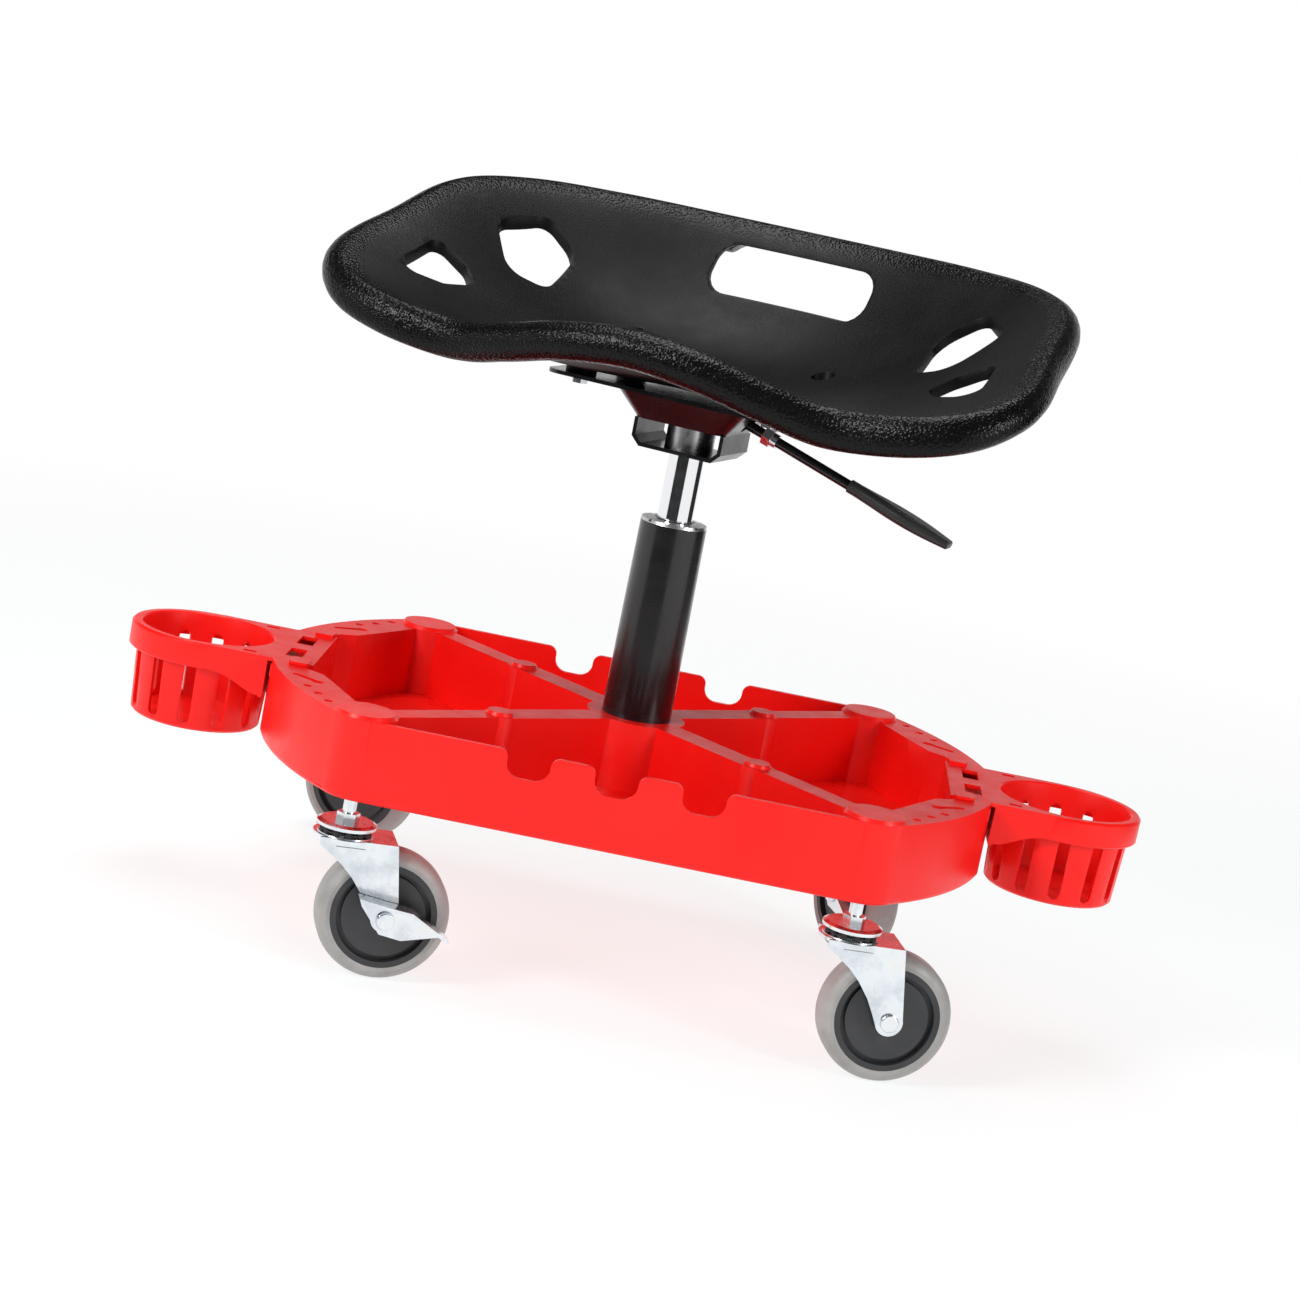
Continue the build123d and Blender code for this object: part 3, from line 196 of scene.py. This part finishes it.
def chrome():
    """Polished hard chrome with faint grinding marks round the tube."""
    material, tree, shader = new_material("chrome")
    shader.inputs["Base Color"].default_value = (0.86, 0.87, 0.89, 1.0)
    shader.inputs["Metallic"].default_value = 1.0
    tree.links.new(remap(tree, noise(tree, 90.0, 4.0), 0.3, 0.7, 0.05, 0.11), shader.inputs["Roughness"])
    wave = tree.nodes.new("ShaderNodeTexWave")
    wave.bands_direction = "Z"
    wave.inputs["Scale"].default_value = 900.0
    wave.inputs["Distortion"].default_value = 2.0
    tree.links.new(place_coordinates(tree), wave.inputs["Vector"])
    bump(tree, shader, wave.outputs["Fac"], 0.000004, 0.4)
    return material


def zinc_plate():
    """Bright zinc plating: bluish white, with cloudy spangle and a little yellow passivation."""
    material, tree, shader = new_material("zinc_plate")
    cloud = noise(tree, 38.0, 4.0, 0.6)
    tone = [(0.30, (0.62, 0.67, 0.72)), (0.52, (0.82, 0.86, 0.90)), (0.75, (0.88, 0.87, 0.82))]
    tree.links.new(colours(tree, cloud, tone), shader.inputs["Base Color"])
    shader.inputs["Metallic"].default_value = 1.0
    tree.links.new(remap(tree, noise(tree, 120.0, 5.0), 0.3, 0.7, 0.17, 0.30), shader.inputs["Roughness"])
    bump(tree, shader, noise(tree, 260.0, 3.0), 0.00004, 0.4)
    return material


def bare_steel():
    """Turned steel: grey, with tool marks."""
    material, tree, shader = new_material("bare_steel")
    stain = colours(tree, noise(tree, 70.0, 4.0), [(0.35, (0.40, 0.40, 0.41)), (0.7, (0.60, 0.60, 0.61))])
    tree.links.new(stain, shader.inputs["Base Color"])
    shader.inputs["Metallic"].default_value = 1.0
    tree.links.new(remap(tree, noise(tree, 200.0), 0.3, 0.7, 0.24, 0.38), shader.inputs["Roughness"])
    bump(tree, shader, noise(tree, 900.0, 2.0), 0.00003, 0.5)
    return material


def seat_shell():
    """Black moulded seat: coarse shiny pebble on the rolled rim, a finer grain in the bowl."""
    material, tree, shader = new_material("seat_shell")
    drift = noise(tree, 14.0, 3.0)
    shade = colours(tree, drift, [(0.3, (0.002, 0.002, 0.002)), (0.7, (0.004, 0.004, 0.004))])
    tree.links.new(shade, shader.inputs["Base Color"])
    rim = tree.nodes.new("ShaderNodeAttribute")
    rim.attribute_name = RIM_LAYER
    on_rim = rim.outputs["Fac"]
    coarse = arithmetic(tree, "MULTIPLY", pebbles(tree, RIM_PEBBLES), on_rim)
    fine = arithmetic(tree, "MULTIPLY", pebbles(tree, BOWL_GRAIN), BOWL_GRAIN_SHARE)
    height = arithmetic(tree, "ADD", coarse, fine)
    glint = arithmetic(tree, "MULTIPLY", on_rim, RIM_GLOSS)
    worn = remap(tree, noise(tree, 55.0, 4.0), 0.3, 0.7, 0.42, 0.50)
    tree.links.new(arithmetic(tree, "SUBTRACT", worn, glint), shader.inputs["Roughness"])
    shader.inputs["Specular IOR Level"].default_value = 0.15
    bump(tree, shader, height, PEBBLE_DEPTH, 0.9)
    return material


def dark_plastic(name, low, high, rough, grain_scale, grain_depth):
    """A dark moulded plastic with cloudy shade, gloss that drifts and a fine grain."""
    material, tree, shader = new_material(name)
    shade = colours(tree, noise(tree, 30.0, 3.0), [(0.3, low), (0.7, high)])
    tree.links.new(shade, shader.inputs["Base Color"])
    gloss = remap(tree, noise(tree, 80.0, 3.0), 0.3, 0.7, rough - 0.05, rough + 0.05)
    tree.links.new(gloss, shader.inputs["Roughness"])
    bump(tree, shader, noise(tree, grain_scale, 3.0), grain_depth, 0.6)
    return material


def tyre_rubber():
    """Grey non-marking rubber: soft sheen, faint dust and scuffs."""
    material, tree, shader = new_material("tyre_rubber")
    tone = [(0.3, (0.27, 0.26, 0.25)), (0.6, (0.34, 0.33, 0.32)), (0.8, (0.38, 0.37, 0.36))]
    dust = colours(tree, noise(tree, 45.0, 5.0, 0.6), tone)
    tree.links.new(dust, shader.inputs["Base Color"])
    tree.links.new(remap(tree, noise(tree, 150.0, 4.0), 0.3, 0.7, 0.40, 0.58), shader.inputs["Roughness"])
    bump(tree, shader, noise(tree, 700.0, 3.0), 0.00008, 0.6)
    return material


# slot: (darkest colour, lightest colour, roughness, grain per metre, grain depth in metres)
DARK_PLASTICS = {
    "grip_plastic": ((0.018, 0.018, 0.019), (0.030, 0.030, 0.031), 0.42, 900.0, 0.00010),
    "hub_plastic": ((0.020, 0.021, 0.023), (0.034, 0.035, 0.038), 0.40, 600.0, 0.00006),
    "guide_plastic": ((0.03, 0.03, 0.032), (0.05, 0.05, 0.052), 0.45, 500.0, 0.00005),
    "seal_plastic": ((0.010, 0.010, 0.010), (0.02, 0.02, 0.02), 0.55, 500.0, 0.00006),
}


def make_materials():
    """One material for each slot of the record."""
    made = {
        "red_plastic": red_plastic(),
        "black_enamel": black_enamel(),
        "chrome": chrome(),
        "zinc_plate": zinc_plate(),
        "bare_steel": bare_steel(),
        "seat_shell": seat_shell(),
        "tyre_rubber": tyre_rubber(),
    }
    for slot, look in DARK_PLASTICS.items():
        made[slot] = dark_plastic(slot, *look)
    return made


def paint_nodes(materials):
    """Each CAD node gets the material of its slot."""
    for entry in frame["record"]["subparts"]:
        node = frame["nodes"][entry["node"]]
        node.data.materials.clear()
        node.data.materials.append(materials[entry["material_slot"]])


# ---- edges of the CAD nodes -------------------------------------------------------------------------
# node: (rounding in metres, faces across it)
SOFT_EDGES = {
    "tool_tray": (0.0018, 3),
    "cup_holder_left": (0.0011, 2),
    "cup_holder_right": (0.0011, 2),
}
WELD_DISTANCE = 0.00002
SHARP_EDGE = 38.0


def soften(node_name, width, segments):
    """A small rounding on a CAD node's sharp edges, as a modifier over its fixed mesh."""
    node = frame["nodes"][node_name]
    weld = node.modifiers.new("weld", "WELD")
    weld.merge_threshold = WELD_DISTANCE
    bevel = node.modifiers.new("bevel", "BEVEL")
    bevel.limit_method = "ANGLE"
    bevel.angle_limit = math.radians(SHARP_EDGE)
    bevel.width = width
    bevel.segments = segments
    bevel.use_clamp_overlap = True
    bevel.harden_normals = False
    bevel.miter_outer = "MITER_ARC"


# ---- seat -------------------------------------------------------------------------------------------
# The rim's outer edge in plan and its crest's height, on the right side, from the pommel round to
# the middle of the back, in millimetres. The CAD seat has the same outline.
SEAT_YAW = 18.0
SEAT_CENTRE_Y = -20.0
RIM_EDGE = [
    (0, -178, 514),
    (60, -175, 507),
    (112, -163, 494),
    (158, -152, 485),
    (214, -153, 491),
    (258, -140, 503),
    (284, -103, 522),
    (281, -20, 552),
    (268, 60, 581),
    (230, 116, 591),
    (165, 162, 594),
    (83, 196, 594),
    (0, 206, 594),
]
# the bowl rises as a power of the way out: at the sides, and by how much more at the back
BOWL_POWER = 2.6
BOWL_POWER_BACK = 0.4
CREST_REACH = 0.93
CREST_SHARPNESS = 5.0
SEAT_FLOOR = 471.0
SEAT_SHELL = 10.0
RIM_BEAD = 15.0
RIM_INSET = 1.15
RIM_SINK = 1.5
PLATE_TOP = 458.0
SEAT_BOLTS = [(x, y) for x in (-78, 78) for y in (-55, 55)]
RECESS_RADIUS = 9.0
RECESS_DEPTH = 6.0
RECESS_CLEARANCE = 30.0
BOSS_RADIUS = 12.0
BOSS_OVERLAP = 3.0
# the openings in the side walls, on the right side, in plan
REAR_OPENING = [(216, 50), (190, 92), (156, 88), (155, 34), (184, 16)]
SIDE_OPENING = [(236, -80), (232, -20), (203, -22), (187, -38), (200, -64), (219, -78)]
REAR_CORNER = 16.0
SIDE_CORNER = 11.0
# the slot in the back wall: its length, height and middle height, and its middle's place across
HAND_SLOT = (138.0, 40.0, 544.0)
HAND_SLOT_SHIFT = 7.0
HAND_SLOT_CORNER = 16.0
HAND_SLOT_REACH = (60.0, 260.0)
OPENING_REACH = (418.0, 658.0)
# the mesh: sections round the seat, points on a circle, steps along the bowl and round the rim's bead,
# the bead's first angle and step in degrees, the rounding of the cuts' edges in metres, and the angles
# in degrees from which an edge is rounded and from which it is shaded sharp
SEAT_SECTIONS = 360
CIRCLE_POINTS = 32
BOWL_STEPS = 40
BEAD_STEPS = 14
BEAD_START = 100
BEAD_STEP = 20
CUT_ROUNDING = 0.0014
CUT_EDGE = 35.0
SHADE_EDGE = 50.0
# the rim's pebble fades into the bowl's grain over this band, in from the rim's edge
PEBBLE_END = 24.0
PEBBLE_FADE = 8.0


def rim_at(turn):
    """Outer radius and crest height of the rim at an angle about the seat's centre, -90 to 90 degrees."""
    turns = [math.atan2(y - SEAT_CENTRE_Y, x) for x, y, z in RIM_EDGE]
    values = [(math.hypot(x, y - SEAT_CENTRE_Y), z) for x, y, z in RIM_EDGE]
    last = len(turns) - 1
    place = min(max(i for i in range(last) if turns[i] <= turn + 1e-9), last - 1)
    span = turns[place + 1] - turns[place]
    t = (turn - turns[place]) / span
    result = []
    for k in range(2):
        slopes = []
        for i in (place, place + 1):
            if i in (0, last):
                slopes.append(0.0)
            else:
                slopes.append((values[i + 1][k] - values[i - 1][k]) / (turns[i + 1] - turns[i - 1]))
        low, high = values[place][k], values[place + 1][k]
        result.append(
            low * (1 + 2 * t) * (1 - t) ** 2
            + high * t * t * (3 - 2 * t)
            + span * (slopes[0] * t * (1 - t) ** 2 - slopes[1] * t * t * (1 - t))
        )
    return result


def levelled(reach, power):
    """A power curve that levels off smoothly at the crest."""
    bend = power * CREST_SHARPNESS
    return reach**power / (1 + (reach / CREST_REACH) ** bend) ** (1 / CREST_SHARPNESS)


def bowl_height(turn, reach, crest):
    """Height of the seat's upper face at a share of the way out to the rim."""
    power = BOWL_POWER + BOWL_POWER_BACK * math.sin(turn)
    return SEAT_FLOOR + (crest - SEAT_FLOOR) * levelled(reach, power) / levelled(1.0, power)


def seat_profile(turn):
    """The section of the seat from the middle of its top, round the rolled rim, to the middle below:
    (radius, height) pairs in millimetres."""
    radius, crest = rim_at(turn)
    bead = RIM_BEAD
    points = []
    inner = 1.0 - RIM_INSET * bead / radius
    for step in range(1, BOWL_STEPS + 1):
        reach = inner * step / BOWL_STEPS
        points.append((reach * radius, bowl_height(turn, reach, crest)))
    top = bowl_height(turn, inner, crest)
    centre = (radius - bead, top - bead + RIM_SINK)
    for step in range(1, BEAD_STEPS + 1):
        angle = math.radians(BEAD_START - BEAD_STEP * step)
        points.append((centre[0] + bead * math.cos(angle), centre[1] + bead * math.sin(angle)))
    for step in range(BOWL_STEPS - 1, 0, -1):
        reach = (radius - 2.0 * bead) / radius * step / BOWL_STEPS
        points.append((reach * radius, bowl_height(turn, reach, crest) - SEAT_SHELL))
    return points


def mesh_object(name, verts, faces):
    """A new object in the scene, from points in metres."""
    mesh = bpy.data.meshes.new(name)
    mesh.from_pydata(verts, [], faces)
    mesh.update()
    made = bpy.data.objects.new(name, mesh)
    bpy.context.scene.collection.objects.link(made)
    return made


def prism(name, outline, axis, low, high):
    """A closed prism: outline in the two other axes, drawn along axis ("Y" or "Z")."""
    count = len(outline)
    verts = []
    for level in (low, high):
        for a, b in outline:
            verts.append((a, level, b) if axis == "Y" else (a, b, level))
    faces = [tuple(range(count))[::-1], tuple(range(count, 2 * count))]
    for i in range(count):
        j = (i + 1) % count
        faces.append((i, j, count + j, count + i))
    made = mesh_object(name, [tuple(c * MM for c in v) for v in verts], faces)
    work = bmesh.new()
    work.from_mesh(made.data)
    bmesh.ops.recalc_face_normals(work, faces=work.faces)
    work.to_mesh(made.data)
    work.free()
    return made


def rounded(corners, radius, steps=6):
    """A polygon's outline with its corners rounded by arcs."""
    outline = []
    count = len(corners)
    for i in range(count):
        corner = Vector(corners[i])
        before = (Vector(corners[i - 1]) - corner).normalized()
        after = (Vector(corners[(i + 1) % count]) - corner).normalized()
        half = math.acos(max(-1.0, min(1.0, before.dot(after)))) / 2
        start = corner + before * (radius / math.tan(half))
        end = corner + after * (radius / math.tan(half))
        centre = corner + (before + after).normalized() * (radius / math.sin(half))
        for step in range(steps + 1):
            spoke = (start - centre).lerp(end - centre, step / steps).normalized() * radius
            outline.append(tuple(centre + spoke))
    return outline


def circle(x, y, radius):
    """A circle's outline."""
    turns = [2 * math.pi * i / CIRCLE_POINTS for i in range(CIRCLE_POINTS)]
    return [(x + radius * math.cos(t), y + radius * math.sin(t)) for t in turns]


def apply_modifiers(made):
    """Swap the object's mesh for the one its modifiers give."""
    graph = bpy.context.evaluated_depsgraph_get()
    final = bpy.data.meshes.new_from_object(made.evaluated_get(graph))
    made.modifiers.clear()
    made.data = final


def cut(made, cutter):
    """Take the cutter's space out of an object, and remove the cutter."""
    modifier = made.modifiers.new("cut", "BOOLEAN")
    modifier.operation = "DIFFERENCE"
    modifier.solver = "EXACT"
    modifier.object = cutter
    apply_modifiers(made)
    bpy.data.objects.remove(cutter)


def seat_blank():
    """The seat before anything is cut: its section carried round the whole rim."""
    around = SEAT_SECTIONS
    sections = []
    for i in range(around):
        angle = -math.pi + 2 * math.pi * i / around
        x, y = math.cos(angle), math.sin(angle)
        section = seat_profile(math.atan2(y, abs(x)))
        sections.append([(r * x, SEAT_CENTRE_Y + r * y, z) for r, z in section])
    length = len(sections[0])
    verts = [p for section in sections for p in section]
    top, below = len(verts), len(verts) + 1
    verts += [(0, SEAT_CENTRE_Y, SEAT_FLOOR), (0, SEAT_CENTRE_Y, SEAT_FLOOR - SEAT_SHELL)]
    faces = []
    for i in range(around):
        j = (i + 1) % around
        for k in range(length - 1):
            faces.append((i * length + k, i * length + k + 1, j * length + k + 1, j * length + k))
        faces.append((top, i * length, j * length))
        faces.append((below, (j + 1) * length - 1, (i + 1) * length - 1))
    return mesh_object("seat_moulding", [tuple(c * MM for c in v) for v in verts], faces)


def cut_openings(seat):
    """The hand slot, the four side openings and the recesses over the seat's bolts."""
    slot_length, slot_height, slot_z = HAND_SLOT
    slot_corners = [
        (HAND_SLOT_SHIFT + sx * slot_length / 2, slot_z + sz * slot_height / 2)
        for sx, sz in ((-1, -1), (1, -1), (1, 1), (-1, 1))
    ]
    slot_outline = rounded(slot_corners, HAND_SLOT_CORNER)
    cut(seat, prism("hand_slot_cutter", slot_outline, "Y", *HAND_SLOT_REACH))
    for side in (-1, 1):
        for opening, corner in ((REAR_OPENING, REAR_CORNER), (SIDE_OPENING, SIDE_CORNER)):
            outline = rounded([(side * x, y) for x, y in opening], corner)
            cut(seat, prism("opening_cutter", outline, "Z", *OPENING_REACH))
    for x, y in SEAT_BOLTS:
        turn = math.atan2(y - SEAT_CENTRE_Y, abs(x))
        radius, crest = rim_at(turn)
        height = bowl_height(turn, math.hypot(x, y - SEAT_CENTRE_Y) / radius, crest)
        outline = circle(x, y, RECESS_RADIUS)
        cut(seat, prism("recess_cutter", outline, "Z", height - RECESS_DEPTH, height + RECESS_CLEARANCE))


def add_bosses(seat):
    """The four bosses that stand on the seat plate."""
    bosses = [
        prism("boss", circle(x, y, BOSS_RADIUS), "Z", PLATE_TOP, SEAT_FLOOR + BOSS_OVERLAP)
        for x, y in SEAT_BOLTS
    ]
    work = bmesh.new()
    work.from_mesh(seat.data)
    for boss in bosses:
        work.from_mesh(boss.data)
        bpy.data.objects.remove(boss)
    work.to_mesh(seat.data)
    work.free()


def build_seat(materials):
    """The moulded seat: a bowl with a rolled rim, its openings cut through with rounded edges."""
    seat = seat_blank()
    cut_openings(seat)
    add_bosses(seat)
    bevel = seat.modifiers.new("bevel", "BEVEL")
    bevel.limit_method = "ANGLE"
    bevel.angle_limit = math.radians(CUT_EDGE)
    bevel.width = CUT_ROUNDING
    bevel.segments = 2
    apply_modifiers(seat)
    mark_rim(seat)
    seat.data.transform(Matrix.Rotation(math.radians(-SEAT_YAW), 4, "Z"))
    seat.data.shade_smooth()
    seat.data.set_sharp_from_angle(angle=math.radians(SHADE_EDGE))
    seat.data.materials.clear()
    seat.data.materials.append(materials["seat_shell"])
    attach(seat, "seat")
    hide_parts("seat")


def mark_rim(seat):
    """A number at each point of the seat: 1 on the rolled rim, 0 in the bowl."""
    layer = seat.data.attributes.new(RIM_LAYER, "FLOAT", "POINT")
    for vertex, value in zip(seat.data.vertices, layer.data):
        x, y = vertex.co.x / MM, vertex.co.y / MM - SEAT_CENTRE_Y
        radius = rim_at(math.atan2(y, abs(x)))[0]
        inset = radius - math.hypot(x, y)
        value.value = 1.0 - min(max((inset - PEBBLE_END) / PEBBLE_FADE, 0.0), 1.0)


# ---- stage --------------------------------------------------------------------------------------------
FLOOR_REACH = 12.0
FLOOR_FADE = (0.9, 2.0)
# light: (place, the point it faces, width and height, power)
LIGHTS = {
    "light_top": ((-0.3, 0.2, 2.2), (0, 0, 0.3), (1.6, 0.8), 26.0),
    "light_left": ((-1.7, -1.7, 1.6), (0, 0, 0.35), (0.7, 1.0), 46.0),
    "light_right": ((1.9, -1.2, 1.2), (0, 0, 0.35), (0.4, 1.0), 22.0),
}
# card: the middle of its arc and the arc's width, in degrees about the column, from -Y towards +X
CARDS = {"card_front": (-19.0, 74.0), "card_back": (115.0, 48.0)}
CARD_DISTANCE = 3.2
CARD_LEVELS = (-1.6, 1.3)
CARD_STEPS = 12
# the room: its walls are white up to the first rise, and dark from the second
ROOM_RISE = (0.10, 0.45)


def make_floor():
    """A pale floor that fades into the pale surroundings away from the stool."""
    r = FLOOR_REACH
    floor = mesh_object("floor", [(-r, -r, 0), (r, -r, 0), (r, r, 0), (-r, r, 0)], [(0, 1, 2, 3)])
    material, tree, shader = new_material("floor")
    shader.inputs["Base Color"].default_value = (0.225, 0.24, 0.24, 1.0)
    shader.inputs["Roughness"].default_value = 0.9
    shader.inputs["Specular IOR Level"].default_value = 0.05
    shader.inputs["Emission Color"].default_value = (1.0, 1.0, 1.0, 1.0)
    shader.inputs["Emission Strength"].default_value = 0.79
    length = tree.nodes.new("ShaderNodeVectorMath")
    length.operation = "LENGTH"
    tree.links.new(place_coordinates(tree), length.inputs[0])
    far = remap(tree, length.outputs["Value"], *FLOOR_FADE, 0.0, 1.0)
    clear = tree.nodes.new("ShaderNodeBsdfTransparent")
    mix = tree.nodes.new("ShaderNodeMixShader")
    output = next(n for n in tree.nodes if n.type == "OUTPUT_MATERIAL")
    tree.links.new(far, mix.inputs["Fac"])
    tree.links.new(shader.outputs["BSDF"], mix.inputs[1])
    tree.links.new(clear.outputs["BSDF"], mix.inputs[2])
    tree.links.new(mix.outputs["Shader"], output.inputs["Surface"])
    floor.data.materials.append(material)


def dark_card(name, heading, spread):
    """A curved dark card that only reflections see, so that bright metal has dark bands."""
    verts = []
    for step in range(CARD_STEPS + 1):
        turn = math.radians(heading + spread * (step / CARD_STEPS - 0.5))
        x, y = CARD_DISTANCE * math.sin(turn), -CARD_DISTANCE * math.cos(turn)
        verts += [(x, y, level) for level in CARD_LEVELS]
    faces = [(2 * i, 2 * i + 2, 2 * i + 3, 2 * i + 1) for i in range(CARD_STEPS)]
    card = mesh_object(name, verts, faces)
    material, tree, shader = new_material(name)
    tone = [(0.3, (0.010, 0.010, 0.010)), (0.7, (0.016, 0.016, 0.016))]
    shade = colours(tree, noise(tree, 2.0), tone)
    tree.links.new(shade, shader.inputs["Base Color"])
    shader.inputs["Roughness"].default_value = 1.0
    card.data.materials.append(material)
    card.visible_camera = False
    card.visible_diffuse = False
    card.visible_shadow = False


def area_light(name, place, target, size, power):
    """A soft white box of light that faces a point."""
    data = bpy.data.lights.new(name, "AREA")
    data.shape = "RECTANGLE"
    data.size, data.size_y = size
    data.energy = power
    light = bpy.data.objects.new(name, data)
    light.location = place
    light.rotation_mode = "QUATERNION"
    light.rotation_quaternion = (Vector(target) - Vector(place)).to_track_quat("-Z", "Y")
    bpy.context.scene.collection.objects.link(light)


def make_lights():
    """Soft boxes above and on both sides, in a pale room with a dark ceiling and two dark cards."""
    bpy.context.scene.view_settings.view_transform = "Standard"
    world = bpy.data.worlds.new("studio")
    world.use_nodes = True
    tree = world.node_tree
    background = tree.nodes["Background"]
    direction = tree.nodes.new("ShaderNodeTexCoord").outputs["Generated"]
    split = tree.nodes.new("ShaderNodeSeparateXYZ")
    tree.links.new(direction, split.inputs["Vector"])
    rise = remap(tree, split.outputs["Z"], *ROOM_RISE, 0.0, 1.0)
    walls = colours(tree, rise, [(0.0, (1.0, 1.0, 1.0)), (1.0, (0.06, 0.06, 0.06))])
    tree.links.new(walls, background.inputs["Color"])
    background.inputs["Strength"].default_value = 1.0
    bpy.context.scene.world = world
    for name, light in LIGHTS.items():
        area_light(name, *light)
    for name, arc in CARDS.items():
        dark_card(name, *arc)


# ---- build ----------------------------------------------------------------------------------------------
make_camera()
finishes = make_materials()
paint_nodes(finishes)
for node_name, (width, segments) in SOFT_EDGES.items():
    soften(node_name, width, segments)
build_seat(finishes)
make_floor()
make_lights()
